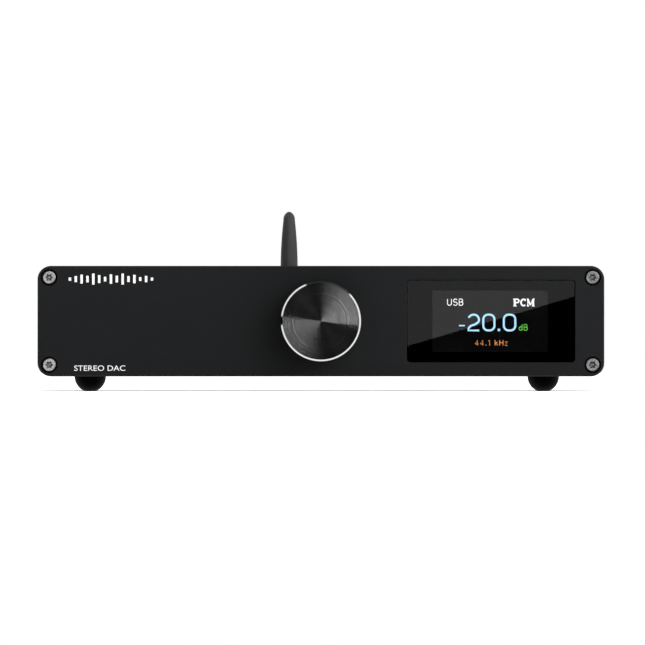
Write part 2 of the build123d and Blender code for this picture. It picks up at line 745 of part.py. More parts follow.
@part
def phono_insulators():
    """White cores with the socket hole for the plug's centre pin."""
    tip = REAR_Y + PHONO_INSULATOR_TIP
    cores = []
    for x, z in (PHONO_LEFT, PHONO_RIGHT, COAX):
        core = rod(PHONO_INNER_RADIUS, x, z, REAR_Y - 6.0, tip)
        cores.append(core - rod(PHONO_BORE_RADIUS, x, z, tip - PHONO_BORE_DEPTH, tip))
    return group(cores)


@part
def usb_socket():
    """Square shell on the board. The two upper corners of its mouth are cut off."""
    z = BOARD_TOP + 5.5
    shell = slab(12.0, 11.0, 0.5, USB_X, z, REAR_Y - 16.0, REAR_Y + 0.3)
    mouth = Rectangle(8.5, 7.8)
    mouth = chamfer(mouth.vertices().group_by(Axis.Y)[-1], 1.6)
    return shell - facing_front(USB_X, REAR_Y + 0.3, z) * column(mouth, 0, 10.3)


@part
def usb_tongue():
    z = BOARD_TOP + 5.5
    return slab(5.6, 3.2, 0.3, USB_X, z, REAR_Y - 10.0, REAR_Y - 1.0)


@part
def optical_input():
    """Moulded housing on the board, open at the back of the case."""
    x, w = OPTICAL_X, OPTICAL_HALF_WIDTH
    housing = block(x - 4.85, x + 4.85, REAR_Y - 13.5, REAR_Y + 0.4, BOARD_TOP, BOARD_TOP + 10.4)
    housing -= block(x - w, x + w, REAR_Y - OPTICAL_DEPTH, REAR_Y + 0.4, OPTICAL_FLOOR, OPTICAL_CEILING)
    return housing - axle(0.45, x - w - 0.4, x + w + 0.4, REAR_Y - SHUTTER_AXIS_IN, SHUTTER_AXIS_Z)


@part
def optical_shutter():
    """Dust flap, hung from two trunnions. It swings into the housing when a plug comes."""
    x, w, y = OPTICAL_X, OPTICAL_HALF_WIDTH - 0.2, REAR_Y - SHUTTER_AXIS_IN
    flap = block(x - w, x + w, y - 0.4, y + 0.4, OPTICAL_FLOOR + 0.25, SHUTTER_AXIS_Z)
    return flap + axle(0.4, x - w - 0.5, x + w + 0.5, y, SHUTTER_AXIS_Z)


@part
def power_inlet():
    """Figure-eight mains inlet."""
    flange = column(RectangleRounded(24.0, 14.0, 3.5), 0, 2.0)
    flange = chamfer(highest_edges(flange, Axis.Z), 0.4)
    inlet = flange + column(RectangleRounded(20.4, 12.4, 3.9), -17.0, 0)
    inlet -= column(SlotOverall(16.8, 9.0), -12.0, 2.0)
    for side in (-1, 1):
        inlet -= Pos(side * 4.3, 0) * column(Circle(1.2), -17.0, -12.0)
    return facing_back(INLET[0], REAR_Y, INLET[1]) * inlet


@part
def inlet_pins():
    """Contact pins, each with a flat tab behind the inlet."""
    pin = column(Circle(1.2), -17.0, -1.5)
    pin = fillet(highest_edges(pin, Axis.Z), 0.8)
    pin += column(Rectangle(0.8, 2.6), -23.0, -17.0)
    return group([facing_back(INLET[0] + side * 4.3, REAR_Y, INLET[1]) * pin for side in (-1, 1)])


@part
def power_switch():
    """Bezel and housing, open at the front for the rocker, with two tabs behind."""
    bezel = column(RectangleRounded(17.0, 11.5, 1.2), 0, 1.6)
    bezel = chamfer(highest_edges(bezel, Axis.Z), 0.4)
    housing = bezel + column(RectangleRounded(15.0, 9.8, 0.6), -12.0, 0)
    housing -= column(Rectangle(13.0, 2 * (ROCKER_HALF_WIDTH + 0.25)), -8.0, 1.6)
    for side in (-1, 1):
        housing += Pos(side * 4.0, 0) * column(Rectangle(2.6, 0.8), -15.0, -12.0)
    housing = facing_back(SWITCH[0], REAR_Y, SWITCH[1]) * housing
    reach = ROCKER_HALF_WIDTH + 0.7
    return housing - post(1.0, SWITCH[0], REAR_Y - ROCKER_PIVOT_IN, SWITCH[1] - reach, SWITCH[1] + reach)


@part
def switch_rocker():
    """Two-sided rocker with its trunnions, at rest with one side pressed in."""
    half, peak, shoulder = 6.0, 3.4, 2.2
    right_half = [(3.0, -3.5), (half, -1.2), (half, shoulder), (0, peak)]
    left_half = [(-x, y) for x, y in reversed(right_half[:-1])]
    outline = make_face(Polyline(*right_half, *left_half, close=True))
    rocker = extrude(outline, amount=ROCKER_HALF_WIDTH, both=True)
    rocker += Cylinder(0.9, 2 * (ROCKER_HALF_WIDTH + 0.6))
    return Pos(SWITCH[0], REAR_Y - ROCKER_PIVOT_IN, SWITCH[1]) * Rot(Z=-ROCKER_TILT) * rocker


# ---- Aerial --------------------------------------------------------------------------------
@part
def antenna_socket():
    """Threaded bulkhead connector, with its hexagon flange inside the case."""
    thread = column(Circle(3.15), -REAR_PANEL_THICK, 9.0)
    flange = column(RegularPolygon(4.4, 6, major_radius=False), -REAR_PANEL_THICK - 2.0, -REAR_PANEL_THICK)
    crimp = column(Circle(2.2), -9.0, -REAR_PANEL_THICK - 2.0)
    return facing_back(AERIAL_X, REAR_Y, AERIAL_Z) * (thread + flange + crimp)


@part
def antenna_socket_nut():
    washer = column(Circle(4.7) - Circle(3.15), 0, 0.5)
    nut = column(RegularPolygon(4.0, 6, major_radius=False) - Circle(3.15), 0.5, 2.5)
    place = facing_back(AERIAL_X, REAR_Y, AERIAL_Z)
    return group([place * washer, place * nut])


@part
def antenna_collar():
    """Fluted sleeve that screws on to the socket and carries the swivel."""
    collar = column(Circle(4.9), 3.0, 12.0)
    collar = chamfer(highest_edges(collar, Axis.Z), 0.5)
    collar = chamfer(lowest_edges(collar, Axis.Z), 0.5)
    collar -= column(Circle(3.15), 3.0, 9.4)
    collar -= column(Circle(2.7), 9.4, 12.0)
    collar -= PolarLocations(5.05, 24) * column(Circle(0.4), 3.0, 10.2)
    return facing_back(AERIAL_X, REAR_Y, AERIAL_Z) * collar


@part
def antenna_yoke():
    """Swivel with a spigot in the collar and two ears for the hinge pin."""
    disc = column(Circle(4.5), 12.2, 14.6)
    disc = chamfer(lowest_edges(disc, Axis.Z), 0.3)
    spigot = column(Circle(2.6), 9.6, 12.2)
    yoke = facing_back(AERIAL_X, REAR_Y, AERIAL_Z) * (disc + spigot)
    for x0, x1 in ((-4.2, -1.9), (1.9, 4.2)):
        left, right = AERIAL_X + x0, AERIAL_X + x1
        bottom, top = AERIAL_Z - KNUCKLE_RADIUS, AERIAL_Z + KNUCKLE_RADIUS
        ear = axle(KNUCKLE_RADIUS, left, right, HINGE_Y, AERIAL_Z)
        ear += block(left, right, REAR_Y + 14.0, HINGE_Y, bottom, top)
        yoke += ear & rod(4.5, AERIAL_X, AERIAL_Z, REAR_Y + 12.2, HINGE_Y + KNUCKLE_RADIUS)
    return yoke - axle(1.0, AERIAL_X - 4.2, AERIAL_X + 4.2, HINGE_Y, AERIAL_Z)


@part
def antenna_hinge_pin():
    return axle(1.0, AERIAL_X - 4.0, AERIAL_X + 4.0, HINGE_Y, AERIAL_Z)


@part
def antenna_blade():
    """Knuckle between the ears, and a tapered round body with a blunt tip."""
    base, shoulder, crown = (3.4, 4.1), (3.24, 10.5), (2.16, AERIAL_TIP - 2.9)
    tip = (0.4, AERIAL_TIP)
    side = Line(base, shoulder) + ThreePointArc(shoulder, (2.89, 21.2), crown)
    end = ThreePointArc(crown, (1.64, AERIAL_TIP - 1.05), tip)
    inside = Polyline(tip, (0, AERIAL_TIP), (0, base[1]), base)
    body = revolve(Rot(X=90) * make_face(side + end + inside), Axis.Z)
    knuckle = axle(KNUCKLE_RADIUS - 0.1, -1.75, 1.75, 0, 0)
    neck = block(-1.75, 1.75, -2.8, 2.8, 0, base[1] + 0.5)
    blade = body + knuckle + neck - axle(1.0 + RUNNING_GAP, -1.75, 1.75, 0, 0)
    return Pos(AERIAL_X, HINGE_Y, AERIAL_Z) * blade


def main():
    os.makedirs("parts", exist_ok=True)
    for name, maker in PARTS.items():
        shape = group([maker()])
        export_step(shape, os.path.join("parts", name + ".step"))
        print(name, len(shape.solids()), "solids", round(shape.volume, 1), "mm3")
    print(len(PARTS), "nodes")


if __name__ == "__main__":
    main()
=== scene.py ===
import math

import bpy
from mathutils import Matrix, Vector


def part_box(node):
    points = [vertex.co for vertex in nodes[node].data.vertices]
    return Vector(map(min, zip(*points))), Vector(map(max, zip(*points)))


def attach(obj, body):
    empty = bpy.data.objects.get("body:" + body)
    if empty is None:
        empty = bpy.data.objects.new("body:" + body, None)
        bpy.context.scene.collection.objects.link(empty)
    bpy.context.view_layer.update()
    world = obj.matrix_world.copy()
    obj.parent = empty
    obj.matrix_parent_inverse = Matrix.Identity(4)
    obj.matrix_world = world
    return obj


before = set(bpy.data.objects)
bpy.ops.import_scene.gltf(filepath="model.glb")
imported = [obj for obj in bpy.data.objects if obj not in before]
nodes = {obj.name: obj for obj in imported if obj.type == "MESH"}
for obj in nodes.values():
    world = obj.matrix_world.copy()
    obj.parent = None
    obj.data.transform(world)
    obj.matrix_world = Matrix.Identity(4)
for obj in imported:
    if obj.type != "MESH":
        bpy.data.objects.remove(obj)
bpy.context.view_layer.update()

MM = 0.001
scene = bpy.context.scene

# ---------------------------------------------------------------- shader helpers


def add(tree, kind, values=None, **settings):
    """A shader node with its settings, and its inputs set or linked."""
    made = tree.nodes.new("ShaderNode" + kind)
    for key, value in settings.items():
        setattr(made, key, value)
    for key, value in (values or {}).items():
        if isinstance(value, bpy.types.NodeSocket):
            tree.links.new(value, made.inputs[key])
        else:
            made.inputs[key].default_value = value
    return made


def math_node(tree, operation, *values, clamp=False):
    made = add(tree, "Math", dict(enumerate(values)), operation=operation, use_clamp=clamp)
    return made.outputs[0]


def remap(tree, value, low, high, to_low=0.0, to_high=1.0, smooth=False):
    kind = "SMOOTHSTEP" if smooth else "LINEAR"
    inputs = {0: value, 1: low, 2: high, 3: to_low, 4: to_high}
    return add(tree, "MapRange", inputs, interpolation_type=kind).outputs[0]


def mix_colour(tree, factor, first, second):
    made = tree.nodes.new("ShaderNodeMix")
    made.data_type = "RGBA"
    for index, value in ((0, factor), (6, first), (7, second)):
        if isinstance(value, bpy.types.NodeSocket):
            tree.links.new(value, made.inputs[index])
        elif index == 0:
            made.inputs[index].default_value = value
        else:
            made.inputs[index].default_value = rgba(value)
    return made.outputs[2]


def mix_vector(tree, factor, first, second):
    made = add(tree, "Mix", {0: factor, 4: first, 5: second}, data_type="VECTOR")
    return made.outputs[1]


def ramp(tree, factor, stops, smooth=False):
    """A grey ramp from (position, level) pairs."""
    made = add(tree, "ValToRGB", {0: factor})
    made.color_ramp.interpolation = "EASE" if smooth else "LINEAR"
    elements = made.color_ramp.elements
    while len(elements) > 1:
        elements.remove(elements[-1])
    for index, (position, level) in enumerate(stops):
        element = elements[0] if index == 0 else elements.new(position)
        element.position = position
        element.color = (level, level, level, 1.0)
    return made.outputs[0]


def rgba(colour):
    if isinstance(colour, (int, float)):
        return (colour, colour, colour, 1.0)
    return (*colour[:3], 1.0)


def new_look(name):
    """A material with only an output and a Principled shader."""
    look = bpy.data.materials.new(name)
    look.use_nodes = True
    tree = look.node_tree
    tree.nodes.clear()
    output = add(tree, "OutputMaterial")
    shader = add(tree, "BsdfPrincipled")
    tree.links.new(shader.outputs[0], output.inputs[0])
    return look, tree, shader


def place(tree):
    return add(tree, "TexCoord").outputs["Object"]


def stretched(tree, vector, scale):
    return add(tree, "Mapping", {"Vector": vector, "Scale": scale}).outputs[0]


def noise(tree, vector, scale, detail=3.0, roughness=0.55):
    inputs = {"Vector": vector, "Scale": scale, "Detail": detail, "Roughness": roughness}
    return add(tree, "TexNoise", inputs).outputs[0]


def noise_along(tree, value, scale, detail):
    """Noise that changes along one value only, such as a radius."""
    inputs = {"W": value, "Scale": scale, "Detail": detail}
    return add(tree, "TexNoise", inputs, noise_dimensions="1D").outputs[0]


def bump(tree, height, distance, strength=1.0, normal=None):
    inputs = {"Height": height, "Distance": distance, "Strength": strength}
    if normal is not None:
        inputs["Normal"] = normal
    return add(tree, "Bump", inputs).outputs[0]


def link(tree, source, shader, name):
    tree.links.new(source, shader.inputs[name])


def finish_look(
    name,
    colours,
    rough=(0.4, 0.5),
    metallic=0.0,
    mottle=60.0,
    grain=4000.0,
    depth=0.01,
    stretch=(1.0, 1.0, 1.0),
    **constants,
):
    """A moulded, cast or blasted surface: mottled colour, uneven gloss and a fine grain.

    mottle and grain are texture scales in 1/m, and depth is the grain's height in mm.
    """
    look, tree, shader = new_look(name)
    spot = stretched(tree, place(tree), stretch)
    broad = noise(tree, spot, mottle, 4.0)
    fine = noise(tree, spot, grain, 2.0)
    tint = remap(tree, broad, 0.3, 0.7)
    link(tree, mix_colour(tree, tint, colours[0], colours[1]), shader, "Base Color")
    both = math_node(tree, "ADD", math_node(tree, "MULTIPLY", broad, 0.6), fine)
    link(tree, remap(tree, both, 0.5, 1.1, rough[0], rough[1]), shader, "Roughness")
    link(tree, bump(tree, fine, depth * MM), shader, "Normal")
    shader.inputs["Metallic"].default_value = metallic
    for key, value in constants.items():
        socket = shader.inputs[key.replace("_", " ")]
        socket.default_value = rgba(value) if socket.type == "RGBA" else value
    return look


# ---------------------------------------------------------------- sizes from the frame

panel_low, panel_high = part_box("front_panel")
knob_low, knob_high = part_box("volume_knob")
window_low, window_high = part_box("display_window")
lcd_low, lcd_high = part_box("display_panel")
MID_X = (panel_low.x + panel_high.x) / 2
MID_Z = (panel_low.z + panel_high.z) / 2
FACE_Y = panel_low.y
REAR_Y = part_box("rear_panel")[1].y
KNOB_R = (knob_high.x - knob_low.x) / 2
KNOB_CHAMFER = 0.75 * MM

# ---------------------------------------------------------------- looks


def anodised(name, dark, light, rough, streak=(1.0, 1.0, 1.0)):
    """Blasted and anodised aluminium: matt dielectric layer with tiny pits that glint."""
    look, tree, shader = new_look(name)
    spot = stretched(tree, place(tree), streak)
    broad = noise(tree, spot, 14.0, 3.0)
    blast = noise(tree, spot, 9000.0, 2.0, 0.7)
    pits = add(tree, "TexVoronoi", {"Vector": spot, "Scale": 5200.0}).outputs[0]
    tint = remap(tree, math_node(tree, "ADD", broad, math_node(tree, "MULTIPLY", blast, 0.5)), 0.5, 1.0)
    link(tree, mix_colour(tree, tint, dark, light), shader, "Base Color")
    link(tree, remap(tree, blast, 0.3, 0.7, rough[0], rough[1]), shader, "Roughness")
    height = math_node(tree, "ADD", blast, math_node(tree, "MULTIPLY", pits, 0.5))
    link(tree, bump(tree, height, 0.004 * MM, 0.6), shader, "Normal")
    shader.inputs["Specular IOR Level"].default_value = 0.3
    return look


KNOB_FACE_ROUGH = 0.2
KNOB_LEAN = 0.028
KNOB_SPREAD = 0.28


def knob_look():
    """Spun dark aluminium: ring grooves on the face, blasted side and a bright cut chamfer."""
    look, tree, shader = new_look("knob")
    centre = Vector((MID_X, 0.0, (knob_low.z + knob_high.z) / 2))
    spot = add(tree, "VectorMath", {0: place(tree), 1: centre}, operation="SUBTRACT").outputs[0]
    parts = add(tree, "SeparateXYZ", {0: spot})
    flat = add(tree, "CombineXYZ", {0: parts.outputs[0], 2: parts.outputs[2]}).outputs[0]
    radius = add(tree, "VectorMath", {0: flat}, operation="LENGTH").outputs["Value"]
    outside = math_node(tree, "GREATER_THAN", radius, KNOB_R - KNOB_CHAMFER + 0.1 * MM)
    inside = math_node(tree, "LESS_THAN", radius, KNOB_R - 0.08 * MM)
    front = math_node(tree, "LESS_THAN", parts.outputs[1], knob_low.y + KNOB_CHAMFER - 0.01 * MM)
    cut = math_node(tree, "MULTIPLY", math_node(tree, "MULTIPLY", outside, inside), front)
    face = math_node(tree, "LESS_THAN", parts.outputs[1], knob_low.y + 0.02 * MM)
    rings = noise_along(tree, radius, 16000.0, 2.0)
    wide_rings = noise_along(tree, radius, 1500.0, 1.0)
    shade = remap(tree, wide_rings, 0.3, 0.7)
    dark = mix_colour(tree, shade, (0.57, 0.57, 0.58), (0.66, 0.66, 0.67))
    side = mix_colour(tree, face, (0.05, 0.05, 0.052), dark)
    link(tree, mix_colour(tree, cut, side, (0.93, 0.93, 0.93)), shader, "Base Color")
    face_rough = remap(tree, face, 0.0, 1.0, 0.42, KNOB_FACE_ROUGH)
    link(tree, remap(tree, cut, 0.0, 1.0, face_rough, 0.1), shader, "Roughness")
    # The turning tool leaves one-sided grooves, so the face leans outwards a little.
    spread = remap(tree, rings, 0.2, 0.8, KNOB_LEAN - KNOB_SPREAD, KNOB_LEAN + KNOB_SPREAD)
    lean = math_node(tree, "MULTIPLY", spread, face)
    outward = add(tree, "VectorMath", {0: flat}, operation="NORMALIZE").outputs[0]
    spaces = {"vector_type": "VECTOR", "convert_from": "OBJECT", "convert_to": "WORLD"}
    turned = add(tree, "VectorTransform", {0: outward}, **spaces).outputs[0]
    push = add(tree, "VectorMath", {0: turned}, operation="SCALE")
    tree.links.new(lean, push.inputs["Scale"])
    geometry = add(tree, "NewGeometry")
    normal = mix_vector(tree, face, geometry.outputs["Normal"], geometry.outputs["True Normal"])
    leaned = add(tree, "VectorMath", {0: normal, 1: push.outputs[0]}, operation="ADD").outputs[0]
    unit = add(tree, "VectorMath", {0: leaned}, operation="NORMALIZE").outputs[0]
    link(tree, unit, shader, "Normal")
    link(tree, add(tree, "Tangent", direction_type="RADIAL", axis="Y").outputs[0], shader, "Tangent")
    shader.inputs["Metallic"].default_value = 1.0
    shader.inputs["Anisotropic"].default_value = 1.0
    shader.inputs["Anisotropic Rotation"].default_value = 0.25
    return look


def glass_look(name, tint, rough=0.002):
    look, tree, shader = new_look(name)
    dust = noise(tree, place(tree), 900.0, 4.0)
    link(tree, remap(tree, dust, 0.3, 0.8, rough, rough + 0.003), shader, "Roughness")
    smear = noise(tree, place(tree), 35.0, 2.0)
    darker = tuple(c * 0.96 for c in tint)
    link(tree, mix_colour(tree, smear, tint, darker), shader, "Base Color")
    shader.inputs["Transmission Weight"].default_value = 1.0
    shader.inputs["IOR"].default_value = 1.5
    return look


DOT_PITCH = 0.14 * MM
DOT_CONTRAST = 0.12


def dot_wave(tree, coordinate):
    """A wave along one coordinate, one turn for each dot of the display."""
    return math_node(tree, "SINE", math_node(tree, "MULTIPLY", coordinate, 2 * math.pi / DOT_PITCH))


def glow_look(name, colour, strength):
    """Lit dots of a display: a fine grid of cells over an even glow."""
    look, tree, shader = new_look(name)
    parts = add(tree, "SeparateXYZ", {0: place(tree)})
    grid = math_node(tree, "MULTIPLY", dot_wave(tree, parts.outputs[0]), dot_wave(tree, parts.outputs[2]))
    level = remap(tree, grid, -1.0, 1.0, 1.0 - DOT_CONTRAST, 1.0)
    lit = mix_colour(tree, level, 0.0, colour)
    link(tree, lit, shader, "Emission Color")
    link(tree, lit, shader, "Base Color")
    shader.inputs["Emission Strength"].default_value = strength
    shader.inputs["Roughness"].default_value = 0.5
    return look


def board_look():
    """Solder mask over copper tracks, with vias."""
    look, tree, shader = new_look("board")
    spot = place(tree)
    tracks = add(
        tree, "TexVoronoi", {"Vector": spot, "Scale": 260.0}, feature="F2", distance="CHEBYCHEV"
    ).outputs[0]
    line = math_node(tree, "PINGPONG", math_node(tree, "MULTIPLY", tracks, 6.0), 0.5)
    copper = remap(tree, line, 0.2, 0.27, smooth=True)
    vias = add(tree, "TexVoronoi", {"Vector": spot, "Scale": 330.0}).outputs[0]
    hole = remap(tree, vias, 0.16, 0.1, smooth=True)
    mask = mix_colour(tree, copper, (0.005, 0.045, 0.018), (0.012, 0.085, 0.032))
    link(tree, mix_colour(tree, hole, mask, (0.45, 0.42, 0.36)), shader, "Base Color")
    link(tree, remap(tree, copper, 0.0, 1.0, 0.38, 0.3), shader, "Roughness")
    height = math_node(tree, "SUBTRACT", copper, hole)
    link(tree, bump(tree, height, 0.035 * MM), shader, "Normal")
    return look


def capacitor_look():
    """Shrink sleeve on the side and pressed bare aluminium on the top."""
    look, tree, shader = new_look("capacitor")
    spot = place(tree)
    up = add(tree, "SeparateXYZ", {0: add(tree, "NewGeometry").outputs["Normal"]}).outputs[2]
    top = remap(tree, up, 0.75, 0.85, smooth=True)
    film = noise(tree, spot, 700.0, 3.0)
    sleeve = mix_colour(tree, film, (0.012, 0.013, 0.03), (0.022, 0.024, 0.05))
    brushed = noise(tree, stretched(tree, spot, (1.0, 12.0, 1.0)), 900.0, 3.0)
    metal = mix_colour(tree, brushed, (0.5, 0.5, 0.5), (0.72, 0.72, 0.72))
    link(tree, mix_colour(tree, top, sleeve, metal), shader, "Base Color")
    link(tree, top, shader, "Metallic")
    link(tree, remap(tree, film, 0.3, 0.7, 0.24, 0.34), shader, "Roughness")
    link(tree, bump(tree, film, 0.02 * MM), shader, "Normal")
    return look


LANES_PER_METRE = 400.0


def wire_look():
    """Insulated leads, red or black by their place across the case."""
    look, tree, shader = new_look("wire")
    spot = place(tree)
    parts = add(tree, "SeparateXYZ", {0: spot})
    lane = math_node(tree, "FLOOR", math_node(tree, "MULTIPLY", parts.outputs[0], LANES_PER_METRE))
    strand = add(tree, "TexWhiteNoise", {"W": lane}, noise_dimensions="1D").outputs[0]
    which = remap(tree, strand, 0.45, 0.55)
    link(tree, mix_colour(tree, which, (0.018, 0.018, 0.02), (0.35, 0.015, 0.012)), shader, "Base Color")
    fine = noise(tree, spot, 3000.0, 2.0)
    link(tree, remap(tree, fine, 0.3, 0.7, 0.32, 0.45), shader, "Roughness")
    link(tree, bump(tree, fine, 0.006 * MM), shader, "Normal")
    return look


def turned_metal(name, dark, light, rough, rings=2500.0):
    """Machined metal with fine tool lines and slight tarnish."""
    look, tree, shader = new_look(name)
    spot = place(tree)
    lines = noise(tree, stretched(tree, spot, (1.0, 9.0, 1.0)), rings, 3.0)
    tarnish = noise(tree, spot, 180.0, 4.0)
    link(tree, mix_colour(tree, remap(tree, tarnish, 0.35, 0.7), light, dark), shader, "Base Color")
    link(tree, remap(tree, lines, 0.3, 0.7, rough[0], rough[1]), shader, "Roughness")
    link(tree, bump(tree, lines, 0.003 * MM), shader, "Normal")
    shader.inputs["Metallic"].default_value = 1.0
    return look


screw_low, screw_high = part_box("front_panel_screws")
SCREW_HEAD = 2.65 * MM
SCREW_FRONT = screw_low.y
SCREW_X = screw_high.x - MID_X - SCREW_HEAD
SCREW_Z = screw_high.z - MID_Z - SCREW_HEAD
RECESS_REACH = 1.75 * MM
RECESS_DEEP = 0.9 * MM
CONE_SLOPE = 0.25


def front_screw_look():
    """Plated screw heads with turned rings, and painted shade in the drive recess."""
    look, tree, shader = new_look("silver_screws")
    spot = place(tree)
    parts = add(tree, "SeparateXYZ", {0: spot})
    across = math_node(tree, "SUBTRACT", math_node(tree, "ABSOLUTE", parts.outputs[0]), SCREW_X)
    up = math_node(tree, "SUBTRACT", parts.outputs[2], MID_Z)
    up = math_node(tree, "SUBTRACT", math_node(tree, "ABSOLUTE", up), SCREW_Z)
    squares = [math_node(tree, "POWER", value, 2.0) for value in (across, up)]
    radius = math_node(tree, "SQRT", math_node(tree, "ADD", *squares))
    near = math_node(tree, "LESS_THAN", radius, RECESS_REACH)
    deep = remap(tree, parts.outputs[1], SCREW_FRONT + 0.12 * MM, SCREW_FRONT + 0.5 * MM)
    recess = math_node(tree, "MULTIPLY", near, deep)
    rings = noise_along(tree, radius, 9000.0, 1.0)
    stain = noise(tree, spot, 1400.0, 3.0)
    metal = mix_colour(tree, stain, (0.46, 0.46, 0.46), (0.56, 0.56, 0.56))
    floor = math_node(tree, "GREATER_THAN", parts.outputs[1], SCREW_FRONT + RECESS_DEEP)
    cone = math_node(tree, "MULTIPLY", recess, floor)
    # Painted shade: in the drive recess the colour darkens with depth, to near black on the walls and a
    # little below the head's tone on the floor.
    painted_recess_shade = mix_colour(tree, cone, (0.02, 0.02, 0.02), (0.42, 0.42, 0.42))
    link(tree, mix_colour(tree, recess, metal, painted_recess_shade), shader, "Base Color")
    link(tree, remap(tree, stain, 0.3, 0.7, 0.3, 0.4), shader, "Roughness")
    # The drill point at the bottom of the drive recess leans towards the middle.
    height = math_node(tree, "MULTIPLY", radius, math_node(tree, "MULTIPLY", cone, -CONE_SLOPE))
    dimple = bump(tree, height, 1.0)
    link(tree, bump(tree, rings, 0.002 * MM, 1.0, dimple), shader, "Normal")
    shader.inputs["Metallic"].default_value = 1.0
    return look


BLACK_LOW = (0.010, 0.010, 0.0105)
BLACK_HIGH = (0.016, 0.016, 0.0165)

LOOKS = {
    "case": anodised("case", (0.0074, 0.0079, 0.0088), (0.0094, 0.0099, 0.0109), (0.42, 0.56)),
    "rear_plate": anodised("rear_plate", (0.013, 0.0132, 0.014), (0.017, 0.0172, 0.018), (0.4, 0.52)),
    "knob": knob_look(),
    "silver_screws": front_screw_look(),
    "black_screws": turned_metal("black_screws", (0.035, 0.035, 0.037), (0.06, 0.06, 0.062), (0.3, 0.45)),
    "board_screws": turned_metal("board_screws", (0.5, 0.5, 0.51), (0.68, 0.68, 0.69), (0.22, 0.36)),
    "rubber": finish_look(
        "rubber", ((0.0016, 0.0016, 0.0016), (0.0026, 0.0026, 0.0026)), (0.34, 0.44), mottle=120,
        grain=2500, depth=0.006, Specular_IOR_Level=0.05,
    ),
    "window": glass_look("window", (0.62, 0.62, 0.64)),
    "display": finish_look(
        "display", ((0.012, 0.012, 0.014), (0.016, 0.016, 0.018)), (0.12, 0.18), IOR=1.6
    ),
    "black_plastic": finish_look(
        "black_plastic", (BLACK_LOW, BLACK_HIGH), (0.4, 0.55), grain=6000, depth=0.012
    ),
    "sensor": finish_look(
        "sensor", ((0.02, 0.008, 0.012), (0.03, 0.012, 0.018)), (0.1, 0.18), grain=2000, depth=0.002
    ),
    "board": board_look(),
    "chip": finish_look(
        "chip", ((0.014, 0.014, 0.015), (0.022, 0.022, 0.023)), (0.5, 0.62), grain=7000, depth=0.01
    ),
    "plated_can": turned_metal("plated_can", (0.55, 0.55, 0.54), (0.72, 0.72, 0.71), (0.24, 0.38), 1200),
    "relay": finish_look(
        "relay", ((0.68, 0.66, 0.6), (0.76, 0.74, 0.69)), (0.3, 0.4), grain=3000, depth=0.006
    ),
    "capacitor": capacitor_look(),
    "core": finish_look(
        "core", ((0.03, 0.03, 0.032), (0.1, 0.07, 0.03)), (0.4, 0.6), mottle=220, grain=2600, depth=0.03
    ),
    "fuse": turned_metal("fuse", (0.6, 0.6, 0.58), (0.8, 0.8, 0.78), (0.12, 0.2)),
    "brass": turned_metal("brass", (0.5, 0.34, 0.12), (0.68, 0.48, 0.2), (0.22, 0.34)),
    "shaft": turned_metal("shaft", (0.45, 0.45, 0.45), (0.64, 0.64, 0.64), (0.2, 0.32)),
    "plunger": finish_look(
        "plunger", ((0.7, 0.7, 0.67), (0.78, 0.78, 0.75)), (0.35, 0.45), depth=0.006
    ),
    "wire": wire_look(),
    "balanced_shell": finish_look(
        "balanced_shell", (BLACK_LOW, BLACK_HIGH), (0.3, 0.42), grain=5000, depth=0.01
    ),
    "gold": turned_metal("gold", (0.72, 0.47, 0.16), (0.86, 0.6, 0.24), (0.14, 0.24)),
    "gold_nut": turned_metal("gold_nut", (0.7, 0.46, 0.16), (0.84, 0.58, 0.23), (0.18, 0.3)),
    "phono_left": finish_look(
        "phono_left", ((0.7, 0.7, 0.68), (0.78, 0.78, 0.76)), (0.25, 0.35), depth=0.005
    ),
    "phono_right": finish_look(
        "phono_right", ((0.42, 0.012, 0.012), (0.52, 0.02, 0.018)), (0.25, 0.35), depth=0.005
    ),
    "phono_digital": finish_look(
        "phono_digital", ((0.55, 0.2, 0.01), (0.66, 0.26, 0.015)), (0.25, 0.35), depth=0.005
    ),
    "insulator": finish_look(
        "insulator", ((0.62, 0.62, 0.6), (0.72, 0.72, 0.7)), (0.28, 0.4), depth=0.004
    ),
    "steel_shell": turned_metal("steel_shell", (0.5, 0.5, 0.5), (0.68, 0.68, 0.67), (0.2, 0.32), 1600),
    "inlet_pins": turned_metal("inlet_pins", (0.6, 0.58, 0.5), (0.75, 0.72, 0.62), (0.16, 0.26)),
    "switch": finish_look(
        "switch", ((0.012, 0.012, 0.0125), (0.018, 0.018, 0.0185)), (0.22, 0.32), grain=3000, depth=0.005
    ),
    "aerial": finish_look(
        "aerial", ((0.03, 0.03, 0.031), (0.04, 0.04, 0.041)), (0.34, 0.44), grain=5200, depth=0.012,
        Specular_IOR_Level=0.3,
    ),
    "collar": turned_metal("collar", (0.7, 0.46, 0.17), (0.82, 0.57, 0.23), (0.16, 0.28)),
}

for node in nodes.values():
    for material_slot in node.material_slots:
        material_slot.material = LOOKS[material_slot.material.name.split(".")[0]]

# ---------------------------------------------------------------- pieces


def mesh_piece(name, vertices, faces, look, body="chassis", smooth=False):
    mesh = bpy.data.meshes.new(name)
    mesh.from_pydata([tuple(v) for v in vertices], [], faces)
    mesh.validate()
    mesh.update()
    if smooth:
        mesh.polygons.foreach_set("use_smooth", [True] * len(mesh.polygons))
    mesh.materials.append(look)
    piece = bpy.data.objects.new(name, mesh)
    scene.collection.objects.link(piece)
    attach(piece, body)
    return piece


def baked(name, source, matrix, look, body):
    """Turns a curve or text into a mesh piece, placed by the matrix."""
    bpy.context.view_layer.update()
    graph = bpy.context.evaluated_depsgraph_get()
    mesh = bpy.data.meshes.new_from_object(source.evaluated_get(graph))
    bpy.data.objects.remove(source)
    mesh.name = name
    mesh.transform(matrix)
    mesh.materials.clear()
    mesh.materials.append(look)
    piece = bpy.data.objects.new(name, mesh)
    scene.collection.objects.link(piece)
    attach(piece, body)
    return piece


FRONT = Matrix(((1, 0, 0), (0, 0, -1), (0, 1, 0))).to_4x4()
BACK = Matrix(((-1, 0, 0), (0, 0, 1), (0, 1, 0))).to_4x4()


